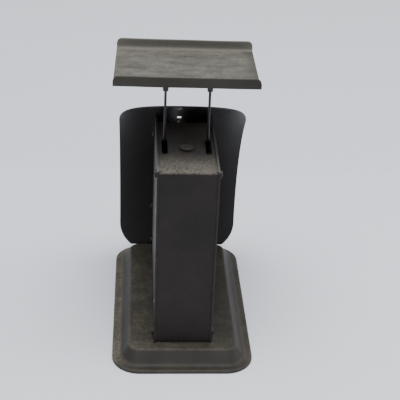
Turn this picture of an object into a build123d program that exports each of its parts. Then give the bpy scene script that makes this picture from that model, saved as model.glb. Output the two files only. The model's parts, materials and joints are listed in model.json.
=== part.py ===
from build123d import *

import math
import os

os.makedirs("parts", exist_ok=True)

# Sprung postal scale. Millimetres, +Z up, origin on the table under the middle of the base.
# The curved dial faces -Y, the flat back of the housing faces +Y.

# ---------------------------------------------------------------- base stamping
BASE_WIDTH = 101.6
BASE_DEPTH = 171.0
BASE_CORNER_RADIUS = 20.0
BASE_SHEET = 1.2
RIM_TOP = 2.4
RIM_EDGE_RADIUS = 1.1
PLATEAU_WIDTH = 77.2
PLATEAU_DEPTH = 146.0
PLATEAU_MIDDLE_Y = -2.0
PLATEAU_TOP = 11.0
PLATEAU_CORNER_RADIUS = 7.0
PLATEAU_EDGE_RADIUS = 2.2
FOOT_WIDTH = 90.4
FOOT_DEPTH = 161.0
FOOT_MIDDLE_Y = -0.7
FOOT_CORNER_RADIUS = 14.0
SLOPE_FOOT_RADIUS = 4.0

# ---------------------------------------------------------------- housing
WALL_INNER = 19.6
WALL_SHEET = 1.4
WALL_OUTER = WALL_INNER + WALL_SHEET
BACK_Y = 64.0
HOUSING_TOP = 149.4
COVER_INSET = 0.8
COVER_SHEET = 1.0
COVER_SIDE_GAP = 0.15
COVER_FRONT_Y = -17.9
COVER_BEND_RADIUS = 2.2
COVER_TOP = HOUSING_TOP - COVER_INSET
COVER_BACK_Y = BACK_Y - COVER_INSET
COVER_HALF_WIDTH = WALL_INNER - COVER_SIDE_GAP
FOOT_FLANGE_WIDTH = 9.0
FOOT_FLANGE_HALF_LENGTH = 56.0

# ---------------------------------------------------------------- dial, an arc about the lever pivot
PIVOT_Y = 57.5
PIVOT_Z = 43.0
DIAL_INNER_RADIUS = 138.2
DIAL_SHEET = 0.8
DIAL_OUTER_RADIUS = DIAL_INNER_RADIUS + DIAL_SHEET
DIAL_HALF_WIDTH = 47.9
DIAL_TOP_ANGLE = 63.6
DIAL_BOTTOM_ANGLE = -16.2
DIAL_FOOT_ANGLE = -14.0
CHART_FOOT_ANGLE = -12.7
DIAL_TOP_CORNER = 47.0
DIAL_BOTTOM_CORNER = 24.8
TRIM_REACH = 120.0
CHART_SHEET = 0.3
CHART_MARGIN = 4.0
CHART_OUTER_RADIUS = DIAL_OUTER_RADIUS + CHART_SHEET
SLOT_X = 3.0
SLOT_WIDTH = 3.0
SLOT_TOP_ANGLE = 48.3
SLOT_BOTTOM_ANGLE = -3.9
EYELET_ANGLES = (58.4, -11.4)
EYELET_RADIUS = 1.0
EYELET_BORE = 0.5
EYELET_LIP_RADIUS = 1.7
EYELET_SEAT = 0.04
BRACKET_ANGLES = (40.0, 1.8, -11.5)
BRACKET_HALF_ANGLE = 1.55
BRACKET_SHEET = 1.0
BRACKET_LEG = 10.0
BRACKET_GAP = 0.1

# ---------------------------------------------------------------- screws
SCREW_HEAD_RADIUS = 2.6
SCREW_HEAD_HEIGHT = 1.7
SCREW_SHANK_RADIUS = 1.4
SCREW_HOLE_RADIUS = 1.5
SCREW_SHANK_LENGTH = 3.2
SCREW_SLOT_WIDTH = 0.7
SCREW_SLOT_DEPTH = 0.6
COVER_SCREWS = ((59.0, 145.6), (56.5, 16.4))
DIAL_SCREW_RADIUS = 132.6
BASE_SCREW_X = 15.0
BASE_SCREW_Y = (-46.0, 46.0)

# ---------------------------------------------------------------- levers
ARM_LENGTH = 42.6
ARM_REST_ANGLE = 10.0
CHECK_Z = 118.0
FLANGE_INNER = 10.8
FLANGE_SHEET = 1.2
FLANGE_OUTER = FLANGE_INNER + FLANGE_SHEET
PIVOT_PIN_RADIUS = 1.5
PIVOT_PIN_END = 21.3
RUNNING_GAP = 0.08
SPACER_RADIUS = 3.0
SPACER_START = FLANGE_OUTER + 0.3
LEVER_PIVOT_BOSS = 4.4
LEVER_TIP_BOSS = 3.8
CHECK_PIVOT_BOSS = 4.0
CHECK_TIP_BOSS = 3.4
WEB_SHEET = 1.0
SPRING_PIN_ARM = 31.25
SPRING_PIN_RADIUS = 1.2

# ---------------------------------------------------------------- pointer
POINTER_REST_ANGLE = 41.0
POINTER_SHEET = 1.0
POINTER_WIDTH = 5.0
POINTER_ROOT_X = FLANGE_INNER - 0.5 * POINTER_SHEET
POINTER_ROOT_ARM = 4.5
POINTER_JOG_START = 62.0
POINTER_JOG_END = 92.0
POINTER_END_ARM = 141.6
POINTER_LUG_ARM = 16.0
POINTER_LUG_BOSS = 3.2
POINTER_RIVET_ARMS = (9.0, 16.0)
POINTER_RIVET_RADIUS = 0.9
BLADE_SHEET = 0.6
BLADE_INNER_RADIUS = POINTER_END_ARM
BLADE_HALF_LENGTH = 33.0
BLADE_ROOT_HEIGHT = 8.6
BLADE_TIP_HEIGHT = 1.0

# ---------------------------------------------------------------- stirrup and weighing pan
ROD_X = 15.2
ROD_RADIUS = 0.9
ROD_BEND_RADIUS = 3.0
PAN_WIDTH = 95.6
PAN_DEPTH = 73.2
PAN_SHIFT_X = 1.9
PAN_SHEET = 0.8
PAN_TOP = 203.9
PAN_LIP = 6.9
PAN_LIP_CORNER = 3.6
PAN_BEND_RADIUS = 1.6
PAN_UNDERSIDE = PAN_TOP - PAN_SHEET
SOCKET_LENGTH = 16.1
SOCKET_TOP_RADIUS = 3.2
SOCKET_BOTTOM_RADIUS = 1.9
COLLAR_RADIUS = 2.3
COLLAR_HEIGHT = 6.0
CROSSBAR_RADIUS = 1.5

# ---------------------------------------------------------------- rod slots and zero adjuster
ROD_SLOT_Y = 23.7
ROD_SLOT_LENGTH = 23.6
ROD_SLOT_WIDTH = 5.2
GROMMET_WALL = 0.6
ZERO_Y = 26.75
KNOB_RADIUS = 4.9
KNOB_HEIGHT = 1.1
KNOB_DISH_FLOOR = 2.4
KNOB_DISH_RIM = 3.7
KNOB_DISH_DEPTH = 0.4
KNOB_FLUTES = 24
KNOB_FLUTE_RADIUS = 0.35
BUSH_RADIUS = 2.6
BUSH_FLANGE_RADIUS = 3.4
BUSH_FLANGE = 0.3
ZERO_SCREW_RADIUS = 1.5
ZERO_SCREW_BOTTOM = 134.5
ZERO_CLIP_RADIUS = 2.8
HANGER_TOP = 140.2
HANGER_SHEET = 1.2
HANGER_DROP = 11.0
HANGER_HALF_WIDTH = 4.8
HANGER_DEPTH = 6.0
HANGER_PIN_RADIUS = 0.9
HANGER_PIN_RISE = 1.7

# ---------------------------------------------------------------- weighing spring
SPRING_RADIUS = 3.0
SPRING_WIRE_RADIUS = 0.4
SPRING_TOP_COIL = 120.0
SPRING_BOTTOM_COIL = 58.0
SPRING_PITCH = 1.55
EYE_SLACK = 0.1

# ---------------------------------------------------------------- travel stops
STOP_RADIUS = 1.4
STOP_ARM = 24.0
STOP_RISE = 5.95
STOP_TIP = 10.2
TRAVEL_ANGLE = 42.0
STOPS = (
    (ARM_REST_ANGLE, STOP_RISE),
    (ARM_REST_ANGLE - TRAVEL_ANGLE, -STOP_RISE),
)


def turned(angle):
    """Unit direction in the YZ plane, angle up from straight ahead of the pivot."""
    return (0.0, -math.cos(math.radians(angle)), math.sin(math.radians(angle)))


def arc_point(radius, angle, x=0.0):
    """Point at a radius and angle about the lever pivot axis."""
    y = PIVOT_Y - radius * math.cos(math.radians(angle))
    return (x, y, PIVOT_Z + radius * math.sin(math.radians(angle)))


def side_plane(x, y, z, angle):
    """Sketch plane across X with local x along the arm and local y upwards."""
    return Plane(origin=(x, y, z), x_dir=turned(angle), z_dir=(-1, 0, 0))


def radial_plane(radius, angle, x=0.0):
    """Plane touching the dial arc: local x along +X, normal pointing out of the dial."""
    return Plane(origin=arc_point(radius, angle, x), x_dir=(1, 0, 0), z_dir=turned(angle))


def sector_face(inner, outer, start, end):
    """Ring segment about the pivot, drawn on the pivot side plane."""
    a = (inner * math.cos(math.radians(start)), inner * math.sin(math.radians(start)))
    b = (outer * math.cos(math.radians(start)), outer * math.sin(math.radians(start)))
    c = (outer * math.cos(math.radians(end)), outer * math.sin(math.radians(end)))
    d = (inner * math.cos(math.radians(end)), inner * math.sin(math.radians(end)))
    middle = math.radians(0.5 * (start + end))
    bc = (outer * math.cos(middle), outer * math.sin(middle))
    da = (inner * math.cos(middle), inner * math.sin(middle))
    edges = [Line(a, b), ThreePointArc(b, bc, c), Line(c, d), ThreePointArc(d, da, a)]
    return make_face(edges)


def arm_face(length, root_boss, tip_boss):
    """Tapered arm outline: two bosses joined by their common tangents."""
    tilt = math.acos((root_boss - tip_boss) / length)
    dx = math.cos(tilt)
    dy = math.sin(tilt)
    root = Circle(root_boss)
    tip = Pos(length, 0) * Circle(tip_boss)
    corners = [
        (root_boss * dx, root_boss * dy),
        (root_boss * dx, -root_boss * dy),
        (length + tip_boss * dx, -tip_boss * dy),
        (length + tip_boss * dx, tip_boss * dy),
    ]
    return root + tip + make_face(Polyline(*corners, close=True))


PIVOT_AXIS = side_plane(0, PIVOT_Y, PIVOT_Z, 0)
LEVER_PLANE = side_plane(0, PIVOT_Y, PIVOT_Z, ARM_REST_ANGLE)
CHECK_PLANE = side_plane(0, PIVOT_Y, CHECK_Z, ARM_REST_ANGLE)
POINTER_PLANE = side_plane(0, PIVOT_Y, PIVOT_Z, POINTER_REST_ANGLE)
ARM_RUN = ARM_LENGTH * math.cos(math.radians(ARM_REST_ANGLE))
ARM_RISE = ARM_LENGTH * math.sin(math.radians(ARM_REST_ANGLE))
ROD_Y = PIVOT_Y - ARM_RUN
WIRE_Z = PIVOT_Z + ARM_RISE
CROSSBAR_Z = CHECK_Z + ARM_RISE
SIDES = (1, -1)

# Outlines shared by several pieces, each drawn flat about the axis it turns on.
DIAL_TO = DIAL_TOP_ANGLE + 3
dial_ring = sector_face(DIAL_INNER_RADIUS, DIAL_OUTER_RADIUS, DIAL_FOOT_ANGLE, DIAL_TO)
chart_ring = sector_face(DIAL_OUTER_RADIUS, CHART_OUTER_RADIUS, CHART_FOOT_ANGLE, DIAL_TO)
slot_gap = sector_face(DIAL_INNER_RADIUS - 2, CHART_OUTER_RADIUS + 2, SLOT_BOTTOM_ANGLE, SLOT_TOP_ANGLE)
bracket_wall_leg = sector_face(
    DIAL_INNER_RADIUS - BRACKET_LEG,
    DIAL_INNER_RADIUS,
    -BRACKET_HALF_ANGLE,
    BRACKET_HALF_ANGLE,
)
bracket_dial_leg = sector_face(
    DIAL_INNER_RADIUS - BRACKET_SHEET,
    DIAL_INNER_RADIUS,
    -BRACKET_HALF_ANGLE,
    BRACKET_HALF_ANGLE,
)
lever_outline = arm_face(ARM_LENGTH, LEVER_PIVOT_BOSS, LEVER_TIP_BOSS)
lug_outline = arm_face(POINTER_LUG_ARM, LEVER_PIVOT_BOSS, POINTER_LUG_BOSS)
check_outline = arm_face(ARM_LENGTH, CHECK_PIVOT_BOSS, CHECK_TIP_BOSS)


# Base: a pressed tray, open underneath, with a turned-down rim and a raised plateau.
with BuildPart() as base_plate:
    with BuildSketch():
        RectangleRounded(BASE_WIDTH, BASE_DEPTH, BASE_CORNER_RADIUS)
    extrude(amount=RIM_TOP)
    fillet(base_plate.faces().sort_by(Axis.Z)[-1].edges(), RIM_EDGE_RADIUS)
    with BuildSketch(Plane((0, FOOT_MIDDLE_Y, RIM_TOP))):
        RectangleRounded(FOOT_WIDTH, FOOT_DEPTH, FOOT_CORNER_RADIUS)
    with BuildSketch(Plane((0, PLATEAU_MIDDLE_Y, PLATEAU_TOP))):
        RectangleRounded(PLATEAU_WIDTH, PLATEAU_DEPTH, PLATEAU_CORNER_RADIUS)
    loft(ruled=True)
    fillet(base_plate.faces().sort_by(Axis.Z)[-1].edges(), PLATEAU_EDGE_RADIUS)
    rim_face = base_plate.faces().filter_by_position(Axis.Z, RIM_TOP - 0.01, RIM_TOP + 0.01)[0]
    fillet(rim_face.inner_wires()[0].edges(), SLOPE_FOOT_RADIUS)
    with BuildSketch():
        RectangleRounded(
            BASE_WIDTH - 2 * BASE_SHEET,
            BASE_DEPTH - 2 * BASE_SHEET,
            BASE_CORNER_RADIUS - BASE_SHEET,
        )
    extrude(amount=RIM_TOP - BASE_SHEET, mode=Mode.SUBTRACT)
    with BuildSketch(Plane((0, FOOT_MIDDLE_Y, RIM_TOP - BASE_SHEET))):
        RectangleRounded(
            FOOT_WIDTH - 1.4 * BASE_SHEET,
            FOOT_DEPTH - 1.4 * BASE_SHEET,
            FOOT_CORNER_RADIUS - 0.7 * BASE_SHEET,
        )
    with BuildSketch(Plane((0, PLATEAU_MIDDLE_Y, PLATEAU_TOP - BASE_SHEET))):
        RectangleRounded(
            PLATEAU_WIDTH - 1.4 * BASE_SHEET,
            PLATEAU_DEPTH - 1.4 * BASE_SHEET,
            PLATEAU_CORNER_RADIUS - 0.7 * BASE_SHEET,
        )
    loft(ruled=True, mode=Mode.SUBTRACT)
    with Locations(*[(s * BASE_SCREW_X, y, PLATEAU_TOP) for s in SIDES for y in BASE_SCREW_Y]):
        Cylinder(SCREW_HOLE_RADIUS, 6 * BASE_SHEET, mode=Mode.SUBTRACT)
base_plate.part.label = "base_plate"
export_step(base_plate.part, "parts/base_plate.step")

# Side walls: flat back, flat top and a front edge that follows the dial arc.
wall_front_radius = DIAL_INNER_RADIUS - 0.3
wall_top_run = math.sqrt(wall_front_radius**2 - (HOUSING_TOP - PIVOT_Z) ** 2)
wall_foot_run = math.sqrt(wall_front_radius**2 - (PLATEAU_TOP - PIVOT_Z) ** 2)

with BuildPart() as side_wall_right:
    with BuildSketch(Plane(origin=(WALL_INNER, PIVOT_Y, PIVOT_Z), x_dir=(0, -1, 0), z_dir=(-1, 0, 0))):
        with BuildLine():
            foot = (wall_foot_run, PLATEAU_TOP - PIVOT_Z)
            crown = (wall_top_run, HOUSING_TOP - PIVOT_Z)
            back_x = PIVOT_Y - BACK_Y
            Polyline(foot, (back_x, foot[1]), (back_x, crown[1]), crown)
            RadiusArc(crown, foot, wall_front_radius)
        make_face()
    extrude(amount=-WALL_SHEET)
    outer_face = side_wall_right.faces().sort_by(Axis.X)[-1]
    fillet(outer_face.edges().filter_by(GeomType.LINE), 0.5)
    with BuildSketch(Plane.XY.offset(PLATEAU_TOP)):
        with Locations((WALL_INNER - 0.5 * FOOT_FLANGE_WIDTH + 0.2, 0)):
            RectangleRounded(FOOT_FLANGE_WIDTH + 0.4, 2 * FOOT_FLANGE_HALF_LENGTH, 2.0)
    extrude(amount=WALL_SHEET)
    with Locations(*[(BASE_SCREW_X, y, PLATEAU_TOP) for y in BASE_SCREW_Y]):
        Cylinder(SCREW_HOLE_RADIUS, 4 * WALL_SHEET, mode=Mode.SUBTRACT)
    for pin_z in (PIVOT_Z, CHECK_Z):
        with Locations(Plane(origin=(WALL_INNER, PIVOT_Y, pin_z), z_dir=(1, 0, 0))):
            Cylinder(PIVOT_PIN_RADIUS, 4 * WALL_SHEET, mode=Mode.SUBTRACT)
    for screw_y, screw_z in COVER_SCREWS:
        with Locations(Plane(origin=(WALL_INNER, screw_y, screw_z), z_dir=(1, 0, 0))):
            Cylinder(SCREW_HOLE_RADIUS, 4 * WALL_SHEET, mode=Mode.SUBTRACT)
    for angle in BRACKET_ANGLES:
        screw_point = arc_point(DIAL_SCREW_RADIUS, angle, WALL_INNER)
        with Locations(Plane(origin=screw_point, z_dir=(1, 0, 0))):
            Cylinder(SCREW_HOLE_RADIUS, 4 * WALL_SHEET, mode=Mode.SUBTRACT)
side_wall_right.part.label = "side_wall_right"
export_step(side_wall_right.part, "parts/side_wall_right.step")

# The left wall is the mirror image, with two more holes for the travel stops.
with BuildPart() as side_wall_left:
    add(mirror(side_wall_right.part, about=Plane.YZ))
    for stop_angle, rise in STOPS:
        stop_plane = side_plane(-WALL_INNER, PIVOT_Y, PIVOT_Z, stop_angle)
        with Locations(stop_plane * Pos(STOP_ARM, rise)):
            Cylinder(STOP_RADIUS, 4 * WALL_SHEET, mode=Mode.SUBTRACT)
side_wall_left.part.label = "side_wall_left"
export_step(side_wall_left.part, "parts/side_wall_left.step")

# Top and back cover: one strip bent once, slotted for the two rods.
with BuildPart() as top_back_cover:
    with BuildSketch(Plane.YZ):
        with BuildLine():
            inner_y = COVER_BACK_Y - COVER_SHEET
            inner_z = COVER_TOP - COVER_SHEET
            Polyline(
                (COVER_FRONT_Y, COVER_TOP),
                (COVER_BACK_Y, COVER_TOP),
                (COVER_BACK_Y, PLATEAU_TOP + 0.3),
                (inner_y, PLATEAU_TOP + 0.3),
                (inner_y, inner_z),
                (COVER_FRONT_Y, inner_z),
                close=True,
            )
        make_face()
    extrude(amount=COVER_HALF_WIDTH, both=True)
    bend_edges = top_back_cover.edges().filter_by(Axis.X)
    outer_bend = bend_edges.filter_by_position(Axis.Z, COVER_TOP - 0.01, COVER_TOP + 0.01).sort_by(Axis.Y)[-1]
    fillet(outer_bend, COVER_BEND_RADIUS)
    inner_bend = (
        top_back_cover.edges()
        .filter_by(Axis.X)
        .filter_by_position(Axis.Z, inner_z - 0.01, inner_z + 0.01)
        .sort_by(Axis.Y)[-1]
    )
    fillet(inner_bend, COVER_BEND_RADIUS - COVER_SHEET)
    foot_corners = top_back_cover.edges().filter_by(Axis.Y).group_by(Axis.Z)[0]
    fillet(foot_corners, 3.0)
    for side in SIDES:
        for screw_y, screw_z in COVER_SCREWS:
            tab_y = 0.5 * (inner_y + screw_y - 4.0)
            with Locations((side * (COVER_HALF_WIDTH - 0.5 * COVER_SHEET), tab_y, screw_z)):
                Box(COVER_SHEET, inner_y - screw_y + 4.0, 7.0)
            with Locations(Plane(origin=(side * WALL_INNER, screw_y, screw_z), z_dir=(1, 0, 0))):
                Cylinder(SCREW_SHANK_RADIUS, 6.0, mode=Mode.SUBTRACT)
    with BuildSketch(Plane.XY.offset(COVER_TOP)):
        with Locations(*[(s * ROD_X, ROD_SLOT_Y) for s in SIDES]):
            SlotOverall(ROD_SLOT_LENGTH, ROD_SLOT_WIDTH, rotation=90)
        with Locations((0, ZERO_Y)):
            Circle(BUSH_RADIUS)
    extrude(amount=-2 * COVER_SHEET, mode=Mode.SUBTRACT)
top_back_cover.part.label = "top_back_cover"
export_step(top_back_cover.part, "parts/top_back_cover.step")

# Slot edging: a thin moulded liner round each rod slot.
with BuildPart() as slot_liners:
    with BuildSketch(Plane.XY.offset(COVER_TOP - COVER_SHEET - 0.4)):
        with Locations(*[(s * ROD_X, ROD_SLOT_Y) for s in SIDES]):
            SlotOverall(ROD_SLOT_LENGTH, ROD_SLOT_WIDTH, rotation=90)
            SlotOverall(
                ROD_SLOT_LENGTH - 2 * GROMMET_WALL,
                ROD_SLOT_WIDTH - 2 * GROMMET_WALL,
                rotation=90,
                mode=Mode.SUBTRACT,
            )
    extrude(amount=COVER_SHEET + 0.8)
slot_liners.part.label = "slot_liners"
export_step(slot_liners.part, "parts/slot_liners.step")

# Cover screws: round slotted heads outside the walls, shanks held in the cover's tabs.
with BuildPart() as cover_screws:
    for side in SIDES:
        for screw_y, screw_z in COVER_SCREWS:
            with Locations(Plane(origin=(side * WALL_OUTER, screw_y, screw_z), z_dir=(side, 0, 0))):
                Cylinder(SCREW_HEAD_RADIUS, SCREW_HEAD_HEIGHT, align=(Align.CENTER, Align.CENTER, Align.MIN))
                Cylinder(
                    SCREW_SHANK_RADIUS,
                    SCREW_SHANK_LENGTH,
                    align=(Align.CENTER, Align.CENTER, Align.MAX),
                )
    head_rims = cover_screws.edges().filter_by(GeomType.CIRCLE)
    far_right = head_rims.group_by(Axis.X)[-1]
    far_left = head_rims.group_by(Axis.X)[0]
    fillet(far_right + far_left, 1.1)
    for side in SIDES:
        for screw_y, screw_z in COVER_SCREWS:
            with Locations((side * (WALL_OUTER + SCREW_HEAD_HEIGHT), screw_y, screw_z)):
                Box(
                    2 * SCREW_SLOT_DEPTH,
                    3 * SCREW_HEAD_RADIUS,
                    SCREW_SLOT_WIDTH,
                    rotation=(side * 35, 0, 0),
                    mode=Mode.SUBTRACT,
                )
cover_screws.part.label = "cover_screws"
export_step(cover_screws.part, "parts/cover_screws.step")

# Dial plate: thin curved sheet, large round corners at the top, smaller ones cut flat at the foot.
top_cut_angle = DIAL_TOP_ANGLE - 9.7
foot_cut_angle = DIAL_BOTTOM_ANGLE + 5.1
top_edge_y = DIAL_INNER_RADIUS * math.sin(math.radians(DIAL_TOP_ANGLE - top_cut_angle))
foot_edge_y = -DIAL_INNER_RADIUS * math.sin(math.radians(foot_cut_angle - DIAL_BOTTOM_ANGLE))

with BuildPart() as dial_plate:
    with BuildSketch(PIVOT_AXIS):
        add(dial_ring)
    extrude(amount=DIAL_HALF_WIDTH + 2, both=True)
    with BuildSketch(radial_plane(DIAL_INNER_RADIUS - TRIM_REACH, top_cut_angle)):
        with Locations((0, top_edge_y - 90)):
            RectangleRounded(2 * DIAL_HALF_WIDTH, 180, DIAL_TOP_CORNER)
        with Locations((0, top_edge_y - 110)):
            Rectangle(2 * DIAL_HALF_WIDTH, 100)
    extrude(amount=2 * TRIM_REACH, mode=Mode.INTERSECT)
    with BuildSketch(radial_plane(DIAL_INNER_RADIUS - TRIM_REACH, foot_cut_angle)):
        with Locations((0, foot_edge_y + 90)):
            RectangleRounded(2 * DIAL_HALF_WIDTH, 180, DIAL_BOTTOM_CORNER)
    extrude(amount=2 * TRIM_REACH, mode=Mode.INTERSECT)
    with BuildSketch(PIVOT_AXIS.offset(-SLOT_X)):
        add(slot_gap)
    extrude(amount=0.5 * SLOT_WIDTH, both=True, mode=Mode.SUBTRACT)
    for angle in EYELET_ANGLES:
        with Locations(radial_plane(DIAL_OUTER_RADIUS, angle, SLOT_X)):
            Cylinder(EYELET_RADIUS, 6.0, mode=Mode.SUBTRACT)
dial_plate.part.label = "dial_plate"
export_step(dial_plate.part, "parts/dial_plate.step")

# Chart card: the printed scale, following the front of the dial a little inside its edge.
chart_half_width = DIAL_HALF_WIDTH - CHART_MARGIN
margin_angle = math.degrees(CHART_MARGIN / DIAL_OUTER_RADIUS)

with BuildPart() as dial_chart:
    with BuildSketch(PIVOT_AXIS):
        add(chart_ring)
    extrude(amount=DIAL_HALF_WIDTH, both=True)
    with BuildSketch(radial_plane(DIAL_INNER_RADIUS - TRIM_REACH, top_cut_angle)):
        with Locations((0, top_edge_y - CHART_MARGIN - 90)):
            RectangleRounded(2 * chart_half_width, 180, DIAL_TOP_CORNER - CHART_MARGIN)
        with Locations((0, top_edge_y - 110)):
            Rectangle(2 * chart_half_width, 100)
    extrude(amount=2 * TRIM_REACH, mode=Mode.INTERSECT)
    with BuildSketch(radial_plane(DIAL_INNER_RADIUS - TRIM_REACH, foot_cut_angle)):
        with Locations((0, foot_edge_y + CHART_MARGIN + 90)):
            RectangleRounded(2 * chart_half_width, 180, DIAL_BOTTOM_CORNER - CHART_MARGIN)
    extrude(amount=2 * TRIM_REACH, mode=Mode.INTERSECT)
    with BuildSketch(PIVOT_AXIS.offset(-SLOT_X)):
        add(slot_gap)
    extrude(amount=0.5 * SLOT_WIDTH + 0.5, both=True, mode=Mode.SUBTRACT)
    for angle in EYELET_ANGLES:
        with Locations(radial_plane(DIAL_OUTER_RADIUS, angle, SLOT_X)):
            Cylinder(EYELET_RADIUS, 6.0, mode=Mode.SUBTRACT)
dial_chart.part.label = "dial_chart"
export_step(dial_chart.part, "parts/dial_chart.step")

# Chart eyelets: two tubular rivets that clamp the card to the plate.
eyelet_grip = DIAL_SHEET + CHART_SHEET
with BuildPart() as chart_eyelets:
    for angle in EYELET_ANGLES:
        with Locations(radial_plane(CHART_OUTER_RADIUS, angle, SLOT_X)):
            Cylinder(EYELET_LIP_RADIUS, 0.4, align=(Align.CENTER, Align.CENTER, Align.MIN))
            Cylinder(EYELET_RADIUS, eyelet_grip + EYELET_SEAT, align=(Align.CENTER, Align.CENTER, Align.MAX))
        with Locations(radial_plane(DIAL_INNER_RADIUS - EYELET_SEAT, angle, SLOT_X)):
            Cylinder(EYELET_LIP_RADIUS, 0.35, align=(Align.CENTER, Align.CENTER, Align.MAX))
        with Locations(radial_plane(DIAL_OUTER_RADIUS, angle, SLOT_X)):
            Cylinder(EYELET_BORE, 8.0, mode=Mode.SUBTRACT)
chart_eyelets.part.label = "chart_eyelets"
export_step(chart_eyelets.part, "parts/chart_eyelets.step")

# Dial brackets: six small angles, one leg on the wall and one on the back of the dial.
with BuildPart() as dial_brackets:
    for side in SIDES:
        for angle in BRACKET_ANGLES:
            wall_x = side * (WALL_INNER - BRACKET_GAP)
            with BuildSketch(side_plane(wall_x, PIVOT_Y, PIVOT_Z, angle)):
                add(bracket_wall_leg)
            extrude(amount=side * BRACKET_SHEET)
            with BuildSketch(side_plane(wall_x, PIVOT_Y, PIVOT_Z, angle)):
                add(bracket_dial_leg)
            extrude(amount=side * BRACKET_LEG)
            screw_point = arc_point(DIAL_SCREW_RADIUS, angle, side * WALL_INNER)
            with Locations(Plane(origin=screw_point, z_dir=(1, 0, 0))):
                Cylinder(SCREW_SHANK_RADIUS, 6.0, mode=Mode.SUBTRACT)
dial_brackets.part.label = "dial_brackets"
export_step(dial_brackets.part, "parts/dial_brackets.step")

# Dial screws: through each wall into the bracket behind the dial.
with BuildPart() as dial_screws:
    for side in SIDES:
        for angle in BRACKET_ANGLES:
            seat = arc_point(DIAL_SCREW_RADIUS, angle, side * WALL_OUTER)
            with Locations(Plane(origin=seat, z_dir=(side, 0, 0))):
                Cylinder(SCREW_HEAD_RADIUS, SCREW_HEAD_HEIGHT, align=(Align.CENTER, Align.CENTER, Align.MIN))
                Cylinder(
                    SCREW_SHANK_RADIUS,
                    SCREW_SHANK_LENGTH,
                    align=(Align.CENTER, Align.CENTER, Align.MAX),
                )
    head_rims = dial_screws.edges().filter_by(GeomType.CIRCLE)
    far_right = head_rims.group_by(Axis.X)[-1]
    far_left = head_rims.group_by(Axis.X)[0]
    fillet(far_right + far_left, 1.1)
    for side in SIDES:
        for angle in BRACKET_ANGLES:
            slot_centre = arc_point(DIAL_SCREW_RADIUS, angle, side * (WALL_OUTER + SCREW_HEAD_HEIGHT))
            with Locations(slot_centre):
                Box(
                    2 * SCREW_SLOT_DEPTH,
                    3 * SCREW_HEAD_RADIUS,
                    SCREW_SLOT_WIDTH,
                    rotation=(20 + angle, 0, 0),
                    mode=Mode.SUBTRACT,
                )
dial_screws.part.label = "dial_screws"
export_step(dial_screws.part, "parts/dial_screws.step")

# Base screws: up through the plateau and the walls' foot flanges, each with a hex nut.
plateau_underside = PLATEAU_TOP - BASE_SHEET
with BuildPart() as base_screws:
    for x in (BASE_SCREW_X, -BASE_SCREW_X):
        for y in BASE_SCREW_Y:
            with Locations((x, y, plateau_underside)):
                Cylinder(SCREW_HEAD_RADIUS, SCREW_HEAD_HEIGHT, align=(Align.CENTER, Align.CENTER, Align.MAX))
                Cylinder(SCREW_SHANK_RADIUS, 5.6, align=(Align.CENTER, Align.CENTER, Align.MIN))
base_screws.part.label = "base_screws"
export_step(base_screws.part, "parts/base_screws.step")

with BuildPart() as base_nuts:
    with BuildSketch(Plane.XY.offset(PLATEAU_TOP + WALL_SHEET)):
        with Locations(*[(s * BASE_SCREW_X, y) for s in SIDES for y in BASE_SCREW_Y]):
            RegularPolygon(3.0, 6)
            Circle(SCREW_SHANK_RADIUS, mode=Mode.SUBTRACT)
    extrude(amount=2.0)
base_nuts.part.label = "base_nuts"
export_step(base_nuts.part, "parts/base_nuts.step")

# Pivot pins: across the housing, ends peened just proud of the walls.
with BuildPart() as lever_pivot_pin:
    with Locations(Plane(origin=(0, PIVOT_Y, PIVOT_Z), z_dir=(1, 0, 0))):
        Cylinder(PIVOT_PIN_RADIUS, 2 * PIVOT_PIN_END)
    chamfer(lever_pivot_pin.edges().filter_by(GeomType.CIRCLE), 0.25)
lever_pivot_pin.part.label = "lever_pivot_pin"
export_step(lever_pivot_pin.part, "parts/lever_pivot_pin.step")

with BuildPart() as check_pivot_pin:
    with Locations(Plane(origin=(0, PIVOT_Y, CHECK_Z), z_dir=(1, 0, 0))):
        Cylinder(PIVOT_PIN_RADIUS, 2 * PIVOT_PIN_END)
    chamfer(check_pivot_pin.edges().filter_by(GeomType.CIRCLE), 0.25)
check_pivot_pin.part.label = "check_pivot_pin"
export_step(check_pivot_pin.part, "parts/check_pivot_pin.step")

# Spacers: tubes that keep both levers in the middle of their pins.
spacer_length = WALL_INNER - SPACER_START
with BuildPart() as pivot_spacers:
    for side in SIDES:
        for pin_z in (PIVOT_Z, CHECK_Z):
            with Locations(Plane(origin=(side * WALL_INNER, PIVOT_Y, pin_z), z_dir=(-side, 0, 0))):
                Cylinder(SPACER_RADIUS, spacer_length, align=(Align.CENTER, Align.CENTER, Align.MIN))
                Cylinder(
                    PIVOT_PIN_RADIUS,
                    spacer_length,
                    align=(Align.CENTER, Align.CENTER, Align.MIN),
                    mode=Mode.SUBTRACT,
                )
pivot_spacers.part.label = "pivot_spacers"
export_step(pivot_spacers.part, "parts/pivot_spacers.step")

# Travel stops: two studs in the left wall, above the lever at rest and below it at full load.
with BuildPart() as travel_stops:
    for stop_angle, rise in STOPS:
        stop_plane = side_plane(-PIVOT_PIN_END, PIVOT_Y, PIVOT_Z, stop_angle)
        with Locations(stop_plane * Pos(STOP_ARM, rise)):
            Cylinder(STOP_RADIUS, PIVOT_PIN_END - STOP_TIP, align=(Align.CENTER, Align.CENTER, Align.MAX))
travel_stops.part.label = "travel_stops"
export_step(travel_stops.part, "parts/travel_stops.step")

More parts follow.
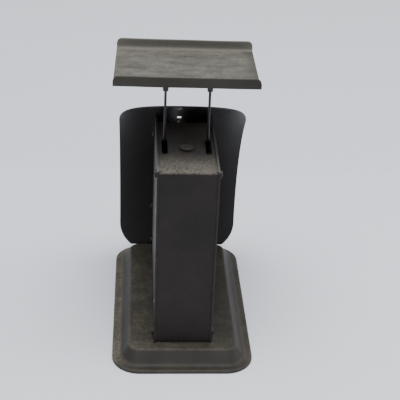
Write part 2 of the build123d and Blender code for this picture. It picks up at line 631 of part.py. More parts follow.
# Main lever: a channel with two tapered flanges, a web underneath and a lug for the pointer.
with BuildPart() as main_lever:
    for side in SIDES:
        with BuildSketch(LEVER_PLANE.offset(-side * FLANGE_INNER)):
            add(lever_outline)
        extrude(amount=-side * FLANGE_SHEET)
    with BuildSketch(POINTER_PLANE.offset(-FLANGE_INNER)):
        add(lug_outline)
    extrude(amount=-FLANGE_SHEET)
    with BuildSketch(LEVER_PLANE):
        with Locations((16.0, -3.35)):
            Rectangle(18.0, WEB_SHEET)
    extrude(amount=FLANGE_INNER + 0.1, both=True)
    with Locations(LEVER_PLANE):
        Cylinder(PIVOT_PIN_RADIUS + RUNNING_GAP, 30.0, mode=Mode.SUBTRACT)
    with Locations(LEVER_PLANE * Pos(ARM_LENGTH, 0)):
        Cylinder(ROD_RADIUS + RUNNING_GAP, 30.0, mode=Mode.SUBTRACT)
    with Locations(LEVER_PLANE * Pos(SPRING_PIN_ARM, 0)):
        Cylinder(SPRING_PIN_RADIUS, 30.0, mode=Mode.SUBTRACT)
    for arm in POINTER_RIVET_ARMS:
        with Locations(POINTER_PLANE.offset(-FLANGE_INNER) * Pos(arm, 0)):
            Cylinder(POINTER_RIVET_RADIUS, 6.0, mode=Mode.SUBTRACT)
main_lever.part.label = "main_lever"
export_step(main_lever.part, "parts/main_lever.step")

# Spring pin: a grooved cross pin in the lever that carries the spring's lower eye.
with BuildPart() as spring_pin:
    with Locations(LEVER_PLANE * Pos(SPRING_PIN_ARM, 0)):
        Cylinder(SPRING_PIN_RADIUS, 2 * FLANGE_OUTER)
    chamfer(spring_pin.edges().filter_by(GeomType.CIRCLE), 0.2)
spring_pin.part.label = "spring_pin"
export_step(spring_pin.part, "parts/spring_pin.step")

# Pointer arm: a flat strip on edge, cranked sideways so that it runs out through the dial slot.
with BuildPart() as pointer_arm:
    arm_plane = Plane(
        origin=(0, PIVOT_Y, PIVOT_Z),
        x_dir=turned(POINTER_REST_ANGLE),
        z_dir=(0, -math.sin(math.radians(POINTER_REST_ANGLE)), -math.cos(math.radians(POINTER_REST_ANGLE))),
    )
    with BuildSketch(arm_plane.offset(-0.5 * POINTER_WIDTH)):
        with BuildLine():
            Polyline(
                (POINTER_ROOT_ARM, -POINTER_ROOT_X),
                (POINTER_JOG_START, -POINTER_ROOT_X),
                (POINTER_JOG_END, -SLOT_X),
                (POINTER_END_ARM, -SLOT_X),
            )
        trace(line_width=POINTER_SHEET)
    extrude(amount=POINTER_WIDTH)
    for arm in POINTER_RIVET_ARMS:
        with Locations(POINTER_PLANE.offset(-FLANGE_INNER) * Pos(arm, 0)):
            Cylinder(POINTER_RIVET_RADIUS, 6.0, mode=Mode.SUBTRACT)
    with Locations(POINTER_PLANE):
        Cylinder(PIVOT_PIN_RADIUS + 2.6, 30.0, mode=Mode.SUBTRACT)
pointer_arm.part.label = "pointer_arm"
export_step(pointer_arm.part, "parts/pointer_arm.step")

# Pointer rivets: through the lever's lug and the root of the pointer arm.
rivet_span = POINTER_SHEET + FLANGE_SHEET
with BuildPart() as pointer_rivets:
    for arm in POINTER_RIVET_ARMS:
        with Locations(POINTER_PLANE.offset(-FLANGE_OUTER) * Pos(arm, 0)):
            Cylinder(POINTER_RIVET_RADIUS, rivet_span, align=(Align.CENTER, Align.CENTER, Align.MIN))
            Cylinder(1.5, 0.5, align=(Align.CENTER, Align.CENTER, Align.MAX))
        with Locations(POINTER_PLANE.offset(-FLANGE_OUTER + rivet_span) * Pos(arm, 0)):
            Cylinder(1.5, 0.5, align=(Align.CENTER, Align.CENTER, Align.MIN))
pointer_rivets.part.label = "pointer_rivets"
export_step(pointer_rivets.part, "parts/pointer_rivets.step")

# Pointer blade: a slim double-ended blade standing in front of the chart.
with BuildPart() as pointer_blade:
    with BuildSketch(radial_plane(BLADE_INNER_RADIUS, POINTER_REST_ANGLE, SLOT_X)):
        Polygon(
            (-BLADE_HALF_LENGTH - SLOT_X, -0.5 * BLADE_TIP_HEIGHT),
            (-3.0, -0.5 * BLADE_ROOT_HEIGHT),
            (3.0, -0.5 * BLADE_ROOT_HEIGHT),
            (BLADE_HALF_LENGTH - SLOT_X, -0.5 * BLADE_TIP_HEIGHT),
            (BLADE_HALF_LENGTH - SLOT_X, 0.5 * BLADE_TIP_HEIGHT),
            (3.0, 0.5 * BLADE_ROOT_HEIGHT),
            (-3.0, 0.5 * BLADE_ROOT_HEIGHT),
            (-BLADE_HALF_LENGTH - SLOT_X, 0.5 * BLADE_TIP_HEIGHT),
            align=None,
        )
    extrude(amount=BLADE_SHEET)
pointer_blade.part.label = "pointer_blade"
export_step(pointer_blade.part, "parts/pointer_blade.step")

# Check link: the upper arm of the parallelogram that keeps the pan level.
with BuildPart() as check_link:
    for side in SIDES:
        with BuildSketch(CHECK_PLANE.offset(-side * FLANGE_INNER)):
            add(check_outline)
        extrude(amount=-side * FLANGE_SHEET)
    with BuildSketch(CHECK_PLANE):
        with Locations((12.0, -3.0)):
            Rectangle(12.0, WEB_SHEET)
    extrude(amount=FLANGE_INNER + 0.1, both=True)
    with Locations(CHECK_PLANE):
        Cylinder(PIVOT_PIN_RADIUS + RUNNING_GAP, 30.0, mode=Mode.SUBTRACT)
    with Locations(CHECK_PLANE * Pos(ARM_LENGTH, 0)):
        Cylinder(CROSSBAR_RADIUS + RUNNING_GAP, 30.0, mode=Mode.SUBTRACT)
check_link.part.label = "check_link"
export_step(check_link.part, "parts/check_link.step")

# Stirrup: one steel wire bent into a U; its foot turns in the lever's tip holes.
with BuildPart() as stirrup_wire:
    stirrup_plane = Plane(origin=(0, ROD_Y, 0), x_dir=(1, 0, 0), z_dir=(0, -1, 0))
    with BuildLine(stirrup_plane) as stirrup_path:
        FilletPolyline(
            (-ROD_X, PAN_UNDERSIDE),
            (-ROD_X, WIRE_Z),
            (ROD_X, WIRE_Z),
            (ROD_X, PAN_UNDERSIDE),
            radius=ROD_BEND_RADIUS,
        )
    with BuildSketch(Plane(origin=(-ROD_X, ROD_Y, PAN_UNDERSIDE), z_dir=(0, 0, -1))):
        Circle(ROD_RADIUS)
    sweep()
stirrup_wire.part.label = "stirrup_wire"
export_step(stirrup_wire.part, "parts/stirrup_wire.step")

# Crossbar: pressed on to both rods, it carries the free end of the check link.
with BuildPart() as stirrup_crossbar:
    with Locations(Plane(origin=(0, ROD_Y, CROSSBAR_Z), z_dir=(1, 0, 0))):
        Cylinder(CROSSBAR_RADIUS, 2 * ROD_X)
    with Locations(*[(s * ROD_X, ROD_Y, CROSSBAR_Z) for s in SIDES]):
        Cylinder(COLLAR_RADIUS, COLLAR_HEIGHT)
    with Locations(*[(s * ROD_X, ROD_Y, CROSSBAR_Z) for s in SIDES]):
        Cylinder(ROD_RADIUS, 2 * COLLAR_HEIGHT, mode=Mode.SUBTRACT)
stirrup_crossbar.part.label = "stirrup_crossbar"
export_step(stirrup_crossbar.part, "parts/stirrup_crossbar.step")

# Rod sockets: tapered collars under the pan that grip the rod ends.
with BuildPart() as rod_sockets:
    with Locations(*[(s * ROD_X, ROD_Y, PAN_UNDERSIDE - SOCKET_LENGTH) for s in SIDES]):
        Cone(
            SOCKET_BOTTOM_RADIUS,
            SOCKET_TOP_RADIUS,
            SOCKET_LENGTH,
            align=(Align.CENTER, Align.CENTER, Align.MIN),
        )
        Cylinder(
            ROD_RADIUS,
            SOCKET_LENGTH,
            align=(Align.CENTER, Align.CENTER, Align.MIN),
            mode=Mode.SUBTRACT,
        )
rod_sockets.part.label = "rod_sockets"
export_step(rod_sockets.part, "parts/rod_sockets.step")

# Weighing pan: flat sheet with a lip turned up along the front and the rear.
with BuildPart() as weighing_pan:
    half_depth = 0.5 * PAN_DEPTH
    lip_top = PAN_TOP + PAN_LIP
    with BuildSketch(Plane.YZ.offset(PAN_SHIFT_X)):
        with BuildLine():
            FilletPolyline(
                (ROD_Y - half_depth, lip_top),
                (ROD_Y - half_depth, PAN_UNDERSIDE),
                (ROD_Y + half_depth, PAN_UNDERSIDE),
                (ROD_Y + half_depth, lip_top),
                radius=PAN_BEND_RADIUS + PAN_SHEET,
            )
            Line((ROD_Y + half_depth, lip_top), (ROD_Y + half_depth - PAN_SHEET, lip_top))
            FilletPolyline(
                (ROD_Y + half_depth - PAN_SHEET, lip_top),
                (ROD_Y + half_depth - PAN_SHEET, PAN_TOP),
                (ROD_Y - half_depth + PAN_SHEET, PAN_TOP),
                (ROD_Y - half_depth + PAN_SHEET, lip_top),
                radius=PAN_BEND_RADIUS,
            )
            Line((ROD_Y - half_depth + PAN_SHEET, lip_top), (ROD_Y - half_depth, lip_top))
        make_face()
    extrude(amount=0.5 * PAN_WIDTH, both=True)
    lip_corners = weighing_pan.edges().filter_by(Axis.Y).group_by(Axis.Z)[-1]
    fillet(lip_corners, PAN_LIP_CORNER)
weighing_pan.part.label = "weighing_pan"
export_step(weighing_pan.part, "parts/weighing_pan.step")

# Zero bush: a flanged bush riveted into the top cover.
with BuildPart() as zero_bush:
    with Locations((0, ZERO_Y, COVER_TOP)):
        Cylinder(BUSH_FLANGE_RADIUS, BUSH_FLANGE, align=(Align.CENTER, Align.CENTER, Align.MIN))
        Cylinder(BUSH_RADIUS, COVER_SHEET + 1.0, align=(Align.CENTER, Align.CENTER, Align.MAX))
        Cylinder(ZERO_SCREW_RADIUS + 0.05, 12.0, mode=Mode.SUBTRACT)
zero_bush.part.label = "zero_bush"
export_step(zero_bush.part, "parts/zero_bush.step")

# Zero knob: a low fluted disc with a dished top.
knob_base = COVER_TOP + BUSH_FLANGE + 0.15
with BuildPart() as zero_knob:
    with Locations((0, ZERO_Y, knob_base)):
        Cylinder(KNOB_RADIUS, KNOB_HEIGHT, align=(Align.CENTER, Align.CENTER, Align.MIN))
    fillet(zero_knob.edges().filter_by(GeomType.CIRCLE), 0.4)
    with Locations((0, ZERO_Y, knob_base + KNOB_HEIGHT)):
        Cone(
            KNOB_DISH_FLOOR,
            KNOB_DISH_RIM,
            KNOB_DISH_DEPTH,
            align=(Align.CENTER, Align.CENTER, Align.MAX),
            mode=Mode.SUBTRACT,
        )
        Cylinder(ZERO_SCREW_RADIUS, 12.0, mode=Mode.SUBTRACT)
    with Locations((0, ZERO_Y, knob_base)):
        with PolarLocations(KNOB_RADIUS, KNOB_FLUTES):
            Cylinder(KNOB_FLUTE_RADIUS, 12.0, mode=Mode.SUBTRACT)
zero_knob.part.label = "zero_knob"
export_step(zero_knob.part, "parts/zero_knob.step")

# Zero screw: pressed into the knob, reaching down into the spring hanger.
screw_top = knob_base + KNOB_HEIGHT - 0.3
with BuildPart() as zero_screw:
    with Locations((0, ZERO_Y, screw_top)):
        Cylinder(
            ZERO_SCREW_RADIUS,
            screw_top - ZERO_SCREW_BOTTOM,
            align=(Align.CENTER, Align.CENTER, Align.MAX),
        )
    chamfer(zero_screw.edges().filter_by(GeomType.CIRCLE), 0.3)
zero_screw.part.label = "zero_screw"
export_step(zero_screw.part, "parts/zero_screw.step")

# Retaining clip: a small ring on the screw, just under the bush.
clip_top = COVER_TOP - COVER_SHEET - 1.0 - 0.15
with BuildPart() as zero_clip:
    with Locations((0, ZERO_Y, clip_top)):
        Cylinder(ZERO_CLIP_RADIUS, 0.6, align=(Align.CENTER, Align.CENTER, Align.MAX))
        Cylinder(ZERO_SCREW_RADIUS, 4.0, mode=Mode.SUBTRACT)
        with Locations((0, 2.0, 0)):
            Box(1.8, 4.0, 4.0, mode=Mode.SUBTRACT)
zero_clip.part.label = "zero_clip"
export_step(zero_clip.part, "parts/zero_clip.step")

# Spring hanger: an inverted U strap tapped for the zero screw.
hanger_bottom = HANGER_TOP - HANGER_DROP
with BuildPart() as spring_hanger:
    with BuildSketch(Plane(origin=(0, ZERO_Y, 0), x_dir=(1, 0, 0), z_dir=(0, -1, 0))):
        with Locations((0, 0.5 * (HANGER_TOP + hanger_bottom))):
            Rectangle(2 * HANGER_HALF_WIDTH, HANGER_DROP)
        with Locations((0, 0.5 * (HANGER_TOP + hanger_bottom) - HANGER_SHEET)):
            Rectangle(2 * (HANGER_HALF_WIDTH - HANGER_SHEET), HANGER_DROP, mode=Mode.SUBTRACT)
    extrude(amount=0.5 * HANGER_DEPTH, both=True)
    with Locations((0, ZERO_Y, HANGER_TOP)):
        Cylinder(ZERO_SCREW_RADIUS + 0.05, 4.0, mode=Mode.SUBTRACT)
    with Locations(Plane(origin=(0, ZERO_Y, hanger_bottom + HANGER_PIN_RISE), z_dir=(1, 0, 0))):
        Cylinder(HANGER_PIN_RADIUS, 3 * HANGER_HALF_WIDTH, mode=Mode.SUBTRACT)
spring_hanger.part.label = "spring_hanger"
export_step(spring_hanger.part, "parts/spring_hanger.step")

# Hanger pin: closes the foot of the strap and carries the spring's upper eye.
hanger_pin_z = hanger_bottom + HANGER_PIN_RISE
with BuildPart() as hanger_pin:
    with Locations(Plane(origin=(0, ZERO_Y, hanger_pin_z), z_dir=(1, 0, 0))):
        Cylinder(HANGER_PIN_RADIUS, 2 * HANGER_HALF_WIDTH + 0.8)
    chamfer(hanger_pin.edges().filter_by(GeomType.CIRCLE), 0.2)
hanger_pin.part.label = "hanger_pin"
export_step(hanger_pin.part, "parts/hanger_pin.step")

# Weighing spring: close-wound extension spring with a ring eye at each end.
spring_length = SPRING_TOP_COIL - SPRING_BOTTOM_COIL
spring_pin_z = arc_point(SPRING_PIN_ARM, ARM_REST_ANGLE)[2]
lower_eye_radius = SPRING_PIN_RADIUS + SPRING_WIRE_RADIUS + EYE_SLACK
upper_eye_radius = HANGER_PIN_RADIUS + SPRING_WIRE_RADIUS + EYE_SLACK
lower_stem_z = spring_pin_z + lower_eye_radius
upper_stem_z = hanger_pin_z - upper_eye_radius

with BuildPart() as weighing_spring:
    with BuildLine(Plane(origin=(0, ZERO_Y, SPRING_BOTTOM_COIL))) as coil:
        Helix(SPRING_PITCH, spring_length, SPRING_RADIUS)
    with BuildSketch(Plane(origin=coil.line @ 0, z_dir=coil.line % 0)):
        Circle(SPRING_WIRE_RADIUS)
    sweep(is_frenet=True)
    for coil_z in (SPRING_BOTTOM_COIL, SPRING_TOP_COIL):
        with Locations((0, ZERO_Y, coil_z), (SPRING_RADIUS, ZERO_Y, coil_z)):
            Sphere(SPRING_WIRE_RADIUS + 0.02)
        with Locations(Plane(origin=(0, ZERO_Y, coil_z), z_dir=(1, 0, 0))):
            Cylinder(SPRING_WIRE_RADIUS, SPRING_RADIUS, align=(Align.CENTER, Align.CENTER, Align.MIN))
    for stem_from, stem_to in ((lower_stem_z, SPRING_BOTTOM_COIL), (SPRING_TOP_COIL, upper_stem_z)):
        with Locations((0, ZERO_Y, stem_from)):
            Cylinder(SPRING_WIRE_RADIUS, stem_to - stem_from, align=(Align.CENTER, Align.CENTER, Align.MIN))
    with Locations((0, ZERO_Y, spring_pin_z)):
        Torus(lower_eye_radius, SPRING_WIRE_RADIUS, rotation=(0, 90, 0))
    with Locations((0, ZERO_Y, hanger_pin_z)):
        Torus(upper_eye_radius, SPRING_WIRE_RADIUS, rotation=(0, 90, 0))
weighing_spring.part.label = "weighing_spring"
export_step(weighing_spring.part, "parts/weighing_spring.step")
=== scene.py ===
import json
import math

import bmesh
import bpy
from mathutils import Matrix, Vector


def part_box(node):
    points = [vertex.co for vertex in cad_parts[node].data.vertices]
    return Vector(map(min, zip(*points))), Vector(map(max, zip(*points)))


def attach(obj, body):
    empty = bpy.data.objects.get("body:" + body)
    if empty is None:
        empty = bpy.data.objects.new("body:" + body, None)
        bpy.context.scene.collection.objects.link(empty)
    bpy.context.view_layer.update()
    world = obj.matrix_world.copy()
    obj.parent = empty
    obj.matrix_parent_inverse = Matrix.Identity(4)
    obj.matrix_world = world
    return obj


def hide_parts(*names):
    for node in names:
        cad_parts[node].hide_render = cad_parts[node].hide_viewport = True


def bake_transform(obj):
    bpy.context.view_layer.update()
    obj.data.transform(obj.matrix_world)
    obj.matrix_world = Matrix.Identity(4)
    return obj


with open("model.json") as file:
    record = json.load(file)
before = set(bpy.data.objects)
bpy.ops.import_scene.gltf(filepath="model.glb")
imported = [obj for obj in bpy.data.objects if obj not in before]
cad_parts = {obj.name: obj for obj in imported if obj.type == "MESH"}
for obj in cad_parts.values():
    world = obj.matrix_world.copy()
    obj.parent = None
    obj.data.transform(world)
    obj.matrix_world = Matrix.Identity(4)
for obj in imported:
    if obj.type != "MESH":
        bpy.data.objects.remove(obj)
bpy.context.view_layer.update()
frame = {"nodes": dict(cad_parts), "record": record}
NODES = frame["nodes"]
MM = 0.001

# The camera, behind the scale and looking down at it.
CAMERA_PLACE = (0.0340, 0.6352, 0.4392)
CAMERA_YAW = math.radians(4.207)
CAMERA_PITCH = math.radians(28.449)
CAMERA_ROLL = math.radians(2.586)
CAMERA_LENS = 87.96

# The dial's arc about the lever pivot, as the CAD has it.
PIVOT_Y = 57.5 * MM
PIVOT_Z = 43.0 * MM
CHART_RADIUS = 139.3 * MM
SLOT_X = 3.0 * MM
BLADE_FACE = 142.2 * MM
ZERO_ANGLE = math.radians(41.0)
TRAVEL = math.radians(42.0)
UNITS = 16

# The pan sits a shade askew on its rods.
PAN_TWIST = math.radians(-0.9)
PAN_SHEET = 0.8 * MM
PAN_BEND = 1.6 * MM
PAN_LIP_CORNER = 3.6 * MM
PAN_LEAN = 0.35 * MM
PAN_STATIONS = 72
LIP_STEPS = 6
FLAT_STEPS = 40
BEND_STEPS = 6

# The spring is cut in two across its upper stem.
SPRING_CUT = 124.5 * MM
WELD_DISTANCE = 0.0005 * MM

# What is printed on the chart: a mark each quarter unit, and two columns of numbers.
MARK_START = 3.6 * MM
MARK_WHOLE, MARK_HALF, MARK_QUARTER = 9.0 * MM, 6.5 * MM, 4.5 * MM
HALF_THICK, HALF_THIN = 0.22 * MM, 0.14 * MM
COLUMN_LINE = 3.4 * MM
COLUMN_HALF_WIDTH = 0.15 * MM
COLUMN_OVERRUN = 0.25 * MM
INK_FOOT, INK_TOP = 0.01 * MM, 0.05 * MM
INK_STEP = 2 * MM
UNIT_NUMBERS_X, UNIT_NUMBERS_SIZE = 22 * MM, 5.2 * MM
FINE_NUMBERS_X, FINE_NUMBERS_SIZE = -20 * MM, 4.6 * MM
FINE_STEP = 50
FINE_COUNT = 9
FINE_TRAVEL = 453.6  # the fifties' scale at the end of the travel

# Lights, and the floor with the faint line across it, in metres and watts.
ROOM_COLOUR = (0.84, 0.86, 0.91, 1)
ROOM_STRENGTH = 0.96
OVERHEAD_PLACE, OVERHEAD_AIM, OVERHEAD_SIZE, OVERHEAD_POWER = (0.05, 0.25, 1.3), (0, 0, 0.1), 0.8, 12.5
SIDE_PLACE, SIDE_AIM, SIDE_SIZE, SIDE_POWER = (-1.1, -0.1, 0.75), (0, 0, 0.08), 0.7, 4.0
FLOOR_HALF_WIDTH = 6.0
FLOOR_LINE = -0.24
FLOOR_LINE_HALF_WIDTH = 0.005

# Colours, linear.
DUST = (0.235, 0.215, 0.18)
YELLOW_DUST = (0.195, 0.175, 0.134)
FLOOR_NEAR = (0.86, 0.865, 0.935)
# The next colour is painted light: the paler floor away from the line.
FLOOR_PAINTED_LIGHT = (0.93, 0.935, 0.985)
FLOOR_FAR = (0.835, 0.84, 0.91)


# ------------------------------------------------------------------ node helpers
def node(tree, kind, inputs=None, **settings):
    """One shader node with its settings made and its inputs set or linked."""
    made = tree.nodes.new("ShaderNode" + kind)
    for key, value in settings.items():
        setattr(made, key, value)
    for key, value in (inputs or {}).items():
        if isinstance(value, bpy.types.NodeSocket):
            tree.links.new(value, made.inputs[key])
        else:
            made.inputs[key].default_value = value
    return made


def maths(tree, operation, a, b=0.0, clamp=False):
    return node(tree, "Math", {0: a, 1: b}, operation=operation, use_clamp=clamp).outputs[0]


def remap(tree, value, low, high, to_low=0.0, to_high=1.0):
    inputs = {"Value": value, "From Min": low, "From Max": high, "To Min": to_low, "To Max": to_high}
    return node(tree, "MapRange", inputs).outputs["Result"]


def noise(tree, where, scale, detail=3.0, rough=0.55):
    inputs = {"Vector": where, "Scale": scale, "Detail": detail, "Roughness": rough}
    return node(tree, "TexNoise", inputs).outputs["Fac"]


def mixed(tree, factor, a, b):
    """Colour a going to colour b."""
    first = (*a, 1) if isinstance(a, tuple) else a
    second = (*b, 1) if isinstance(b, tuple) else b
    return node(tree, "Mix", {0: factor, 6: first, 7: second}, data_type="RGBA").outputs[2]


def shaded(colour, factor):
    return tuple(min(1.0, c * factor) for c in colour)


def places(tree):
    """Object coordinates, which are the CAD's own in metres."""
    return node(tree, "TexCoord").outputs["Object"]


def stretched(tree, where, scale):
    return node(tree, "Mapping", {"Vector": where, "Scale": scale}).outputs["Vector"]


def upward(tree):
    """How far a face looks up, 0 to 1."""
    normal = node(tree, "NewGeometry").outputs["Normal"]
    up = node(tree, "SeparateXYZ", {0: normal}).outputs["Z"]
    return remap(tree, up, 0.25, 0.95)


def edges(tree, width):
    """Where a sharp edge or bend lies within the given width."""
    round_normal = node(tree, "Bevel", {"Radius": width}, samples=4).outputs["Normal"]
    flat = node(tree, "NewGeometry").outputs["Normal"]
    likeness = node(tree, "VectorMath", {0: round_normal, 1: flat}, operation="DOT_PRODUCT").outputs["Value"]
    return remap(tree, maths(tree, "SUBTRACT", 1.0, likeness), 0.015, 0.2)


def new_material(name):
    material = bpy.data.materials.new(name)
    material.use_nodes = True
    return material, material.node_tree, material.node_tree.nodes["Principled BSDF"]


def raise_bump(tree, shader, height, distance):
    bump = node(tree, "Bump", {"Height": height, "Distance": distance, "Strength": 1.0})
    tree.links.new(bump.outputs["Normal"], shader.inputs["Normal"])


# ------------------------------------------------------------------ materials
def enamel(name, paint, gloss, film, settled, rub_and_highlight, dust=DUST, peel=0.02, specular=0.4, rub_and_highlight_width=1.7,
           where_dust=None, where_film=None):
    """Baked enamel: mottled paint, paler edges and bends that are partly rubbed wear and partly a painted
    highlight, dust that settles on upward faces and a fine peel.

    film is a thin layer of dust on every face and settled the dust on upward ones; the rub amount is how
    pale the edges are made, by wear and by painted highlight, and the width after it how far in from them,
    in millimetres like the peel's height.
    """
    material, tree, shader = new_material(name)
    place = places(tree)
    broad = noise(tree, place, 34.0, 4.0)
    patches = noise(tree, place, 130.0, 5.0, 0.6)
    grain = noise(tree, place, 1500.0, 3.0, 0.65)
    specks = remap(tree, noise(tree, place, 2600.0, 2.0, 0.5), 0.62, 0.74)
    colour = mixed(tree, remap(tree, broad, 0.35, 0.65), shaded(paint, 0.82), shaded(paint, 1.18))
    colour = mixed(tree, maths(tree, "MULTIPLY", grain, 0.3), colour, shaded(paint, 0.6))
    # Paler edges and bends: rubbed paint, and a painted highlight where the bends catch the light.
    rubbed_and_highlit = maths(tree, "MULTIPLY", edges(tree, rub_and_highlight_width * MM), remap(tree, patches, 0.36, 0.6, 0.35, 1.0))
    colour = mixed(tree, maths(tree, "MULTIPLY", rubbed_and_highlit, rub_and_highlight, True), colour, shaded(paint, 3.4))
    up = upward(tree)
    lies = maths(tree, "MULTIPLY", up, remap(tree, patches, 0.3, 0.7, 0.65 * settled, 1.15 * settled))
    if where_dust:
        lies = maths(tree, "MULTIPLY", lies, where_dust(tree, place))
    thin = remap(tree, broad, 0.3, 0.7, 0.5 * film, 1.3 * film)
    if where_film:
        thin = maths(tree, "ADD", thin, where_film(tree, place))
    lies = maths(tree, "ADD", lies, thin)
    lies = maths(tree, "ADD", lies, maths(tree, "MULTIPLY", specks, 0.22 * settled), True)
    lies = maths(tree, "MULTIPLY", lies, remap(tree, grain, 0.3, 0.7, 0.8, 1.15), True)
    tree.links.new(mixed(tree, lies, colour, dust), shader.inputs["Base Color"])
    matte = maths(tree, "ADD", lies, maths(tree, "MULTIPLY", patches, 0.25))
    rough = remap(tree, matte, 0.0, 1.0, gloss, 0.85)
    tree.links.new(rough, shader.inputs["Roughness"])
    shader.inputs["Specular IOR Level"].default_value = specular
    height = maths(tree, "ADD", noise(tree, place, 700.0, 2.0), maths(tree, "MULTIPLY", grain, 0.4))
    raise_bump(tree, shader, height, peel * MM)
    return material


def pointer_enamel():
    """Black enamel, with the blade's front face red."""
    material = enamel("pointer enamel", (0.006, 0.0055, 0.0055), 0.35, 0.03, 0.2, 0.4, rub_and_highlight_width=0.4)
    tree = material.node_tree
    shader = tree.nodes["Principled BSDF"]
    black = shader.inputs["Base Color"].links[0].from_socket
    place = places(tree)
    split = node(tree, "SeparateXYZ", {0: place})
    across = node(tree, "CombineXYZ", {1: maths(tree, "SUBTRACT", split.outputs["Y"], PIVOT_Y),
                                       2: maths(tree, "SUBTRACT", split.outputs["Z"], PIVOT_Z)}).outputs[0]
    reach = node(tree, "VectorMath", {0: across}, operation="LENGTH").outputs["Value"]
    outer = remap(tree, reach, BLADE_FACE - 0.15 * MM, BLADE_FACE - 0.05 * MM)
    faded = remap(tree, noise(tree, place, 210.0, 4.0), 0.35, 0.7, 0.0, 0.4)
    red = mixed(tree, faded, (0.42, 0.022, 0.014), (0.30, 0.035, 0.02))
    tree.links.new(mixed(tree, outer, black, red), shader.inputs["Base Color"])
    return material


def metal(name, colour, gloss, tarnish, along=(1.0, 1.0, 1.0), dull=0.5):
    """Drawn or rolled metal: fine grain along one way, and tarnish in patches, rougher where it lies."""
    material, tree, shader = new_material(name)
    place = places(tree)
    drawn = noise(tree, stretched(tree, place, along), 2400.0, 4.0, 0.6)
    patches = noise(tree, place, 260.0, 5.0, 0.6)
    darker = remap(tree, patches, 0.42, 0.68, 0.0, dull)
    base = mixed(tree, remap(tree, drawn, 0.3, 0.7), shaded(colour, 0.85), shaded(colour, 1.1))
    tree.links.new(mixed(tree, darker, base, tarnish), shader.inputs["Base Color"])
    shader.inputs["Metallic"].default_value = 1.0
    rough = maths(tree, "ADD", remap(tree, drawn, 0.2, 0.8, gloss - 0.07, gloss + 0.09),
                  maths(tree, "MULTIPLY", darker, 0.35), True)
    tree.links.new(rough, shader.inputs["Roughness"])
    raise_bump(tree, shader, drawn, 0.01 * MM)
    return material


def moulded(name, colour, gloss):
    """Matte moulding with a fine stipple and a little dust."""
    material, tree, shader = new_material(name)
    place = places(tree)
    stipple = noise(tree, place, 3200.0, 2.0)
    clouds = remap(tree, noise(tree, place, 300.0, 4.0), 0.5, 0.75, 0.0, 0.05)
    dusty = maths(tree, "MULTIPLY", upward(tree), clouds)
    tree.links.new(mixed(tree, dusty, colour, DUST), shader.inputs["Base Color"])
    tree.links.new(remap(tree, stipple, 0.2, 0.8, gloss - 0.1, gloss + 0.1), shader.inputs["Roughness"])
    raise_bump(tree, shader, stipple, 0.02 * MM)
    return material


def card(name, colour):
    """Printed card: fibres, yellowing in patches and a few brown spots."""
    material, tree, shader = new_material(name)
    place = places(tree)
    fibres = noise(tree, stretched(tree, place, (1.0, 1.0, 0.25)), 1900.0, 5.0, 0.7)
    broad = noise(tree, place, 28.0, 4.0)
    spots = remap(tree, noise(tree, place, 190.0, 2.0, 0.4), 0.68, 0.78, 0.0, 0.45)
    base = mixed(tree, remap(tree, broad, 0.3, 0.7), colour, (0.66, 0.57, 0.39))
    base = mixed(tree, maths(tree, "MULTIPLY", fibres, 0.22), base, (0.5, 0.45, 0.34))
    base = mixed(tree, maths(tree, "MULTIPLY", edges(tree, 2.5 * MM), 0.35), base, (0.36, 0.27, 0.15))
    tree.links.new(mixed(tree, spots, base, (0.34, 0.22, 0.1)), shader.inputs["Base Color"])
    tree.links.new(remap(tree, fibres, 0.2, 0.8, 0.5, 0.72), shader.inputs["Roughness"])
    raise_bump(tree, shader, fibres, 0.015 * MM)
    return material


def chart_ink():
    """Printer's ink, a little faded and broken by the card's grain."""
    material, tree, shader = new_material("chart ink")
    place = places(tree)
    fade = remap(tree, noise(tree, place, 900.0, 4.0), 0.4, 0.75, 0.0, 0.35)
    tree.links.new(mixed(tree, fade, (0.02, 0.018, 0.02), (0.12, 0.1, 0.08)), shader.inputs["Base Color"])
    tree.links.new(remap(tree, fade, 0.0, 0.35, 0.45, 0.65), shader.inputs["Roughness"])
    return material


def floor_paper():
    """Pale matte paper with a barely visible tooth, a faint line across it and paler away from the line,
    which is painted light where the lamps reach the floor less.
    """
    material, tree, shader = new_material("floor paper")
    place = places(tree)
    tooth = noise(tree, place, 420.0, 4.0, 0.6)
    deep = node(tree, "SeparateXYZ", {0: place}).outputs["Y"]
    line = remap(tree, deep, FLOOR_LINE - FLOOR_LINE_HALF_WIDTH, FLOOR_LINE + FLOOR_LINE_HALF_WIDTH)
    base = mixed(tree, line, FLOOR_FAR, FLOOR_NEAR)
    away = maths(tree, "ABSOLUTE", maths(tree, "SUBTRACT", deep, FLOOR_LINE))
    # Paler away from the line: painted light for the floor the lamps reach less.
    base = mixed(tree, remap(tree, away, 0.05, 0.6), base, FLOOR_PAINTED_LIGHT)
    base = mixed(tree, maths(tree, "MULTIPLY", tooth, 0.05), base, (0.66, 0.66, 0.7))
    tree.links.new(base, shader.inputs["Base Color"])
    tree.links.new(remap(tree, tooth, 0.2, 0.8, 0.55, 0.7), shader.inputs["Roughness"])
    shader.inputs["Specular IOR Level"].default_value = 0.25
    raise_bump(tree, shader, tooth, 0.02 * MM)
    return material


def speckled(tree, place, low, high, scale):
    """Dust in clumps of a millimetre or two, with finer grains over them."""
    clumps = noise(tree, place, scale, 6.0, 0.72)
    return remap(tree, clumps, 0.36, 0.64, low, high)


def pan_film(tree, place):
    """Dust caught on the front lip and along the crease at its foot, which also paints the light bounced
    onto the lip and a highlight along the crease.
    """
    split = node(tree, "SeparateXYZ", {0: place})
    # Paler front lip and crease: dust, with painted bounce light on the lip and a painted highlight along
    # the crease.
    front = remap(tree, split.outputs["Y"], -19.5 * MM, -17.0 * MM, 1.0, 0.0)
    crease = remap(tree, split.outputs["Z"], 204.5 * MM, 207.5 * MM, 0.95, 0.62)
    return maths(tree, "MULTIPLY", front, crease)


